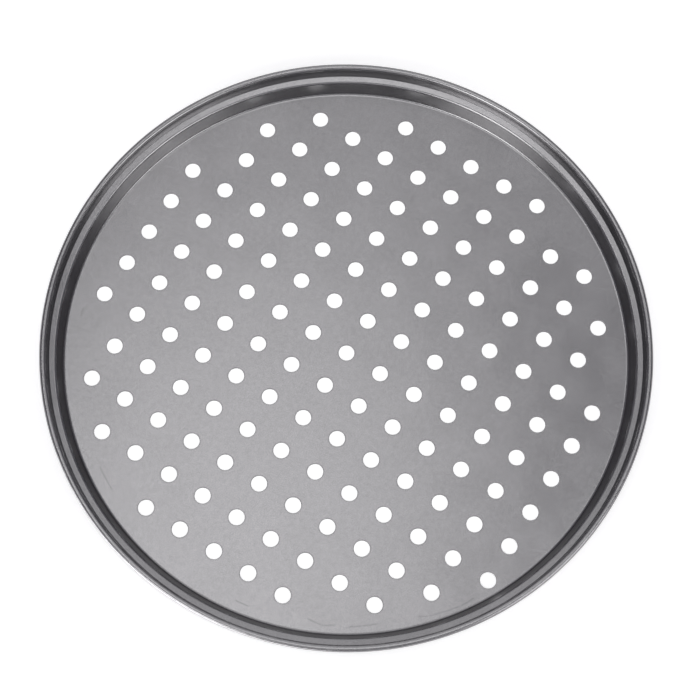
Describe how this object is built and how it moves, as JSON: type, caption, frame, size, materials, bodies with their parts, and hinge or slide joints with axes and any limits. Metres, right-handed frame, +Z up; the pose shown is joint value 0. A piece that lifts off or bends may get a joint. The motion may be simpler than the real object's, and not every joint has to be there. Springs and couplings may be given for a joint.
{
  "type": "perforated crisper plate",
  "caption": "Round perforated steel crisper plate: a flat floor punched with holes, a sloped wall with a stepped ledge, and a rim rolled over a wire.",
  "frame": {"origin": "centre of the underside of the floor", "axes": "+Z up, out of the open dish; X and Y along the rows of holes"},
  "size_m": [0.3044, 0.3044, 0.0163],
  "materials": {
    "coated_sheet": "satin metallic grey non-stick coating",
    "bare_wire": "drawn steel wire"
  },
  "bodies": {
    "root": {"pan": "coated_sheet", "rim_wire": "bare_wire"}
  },
  "joints": []
}
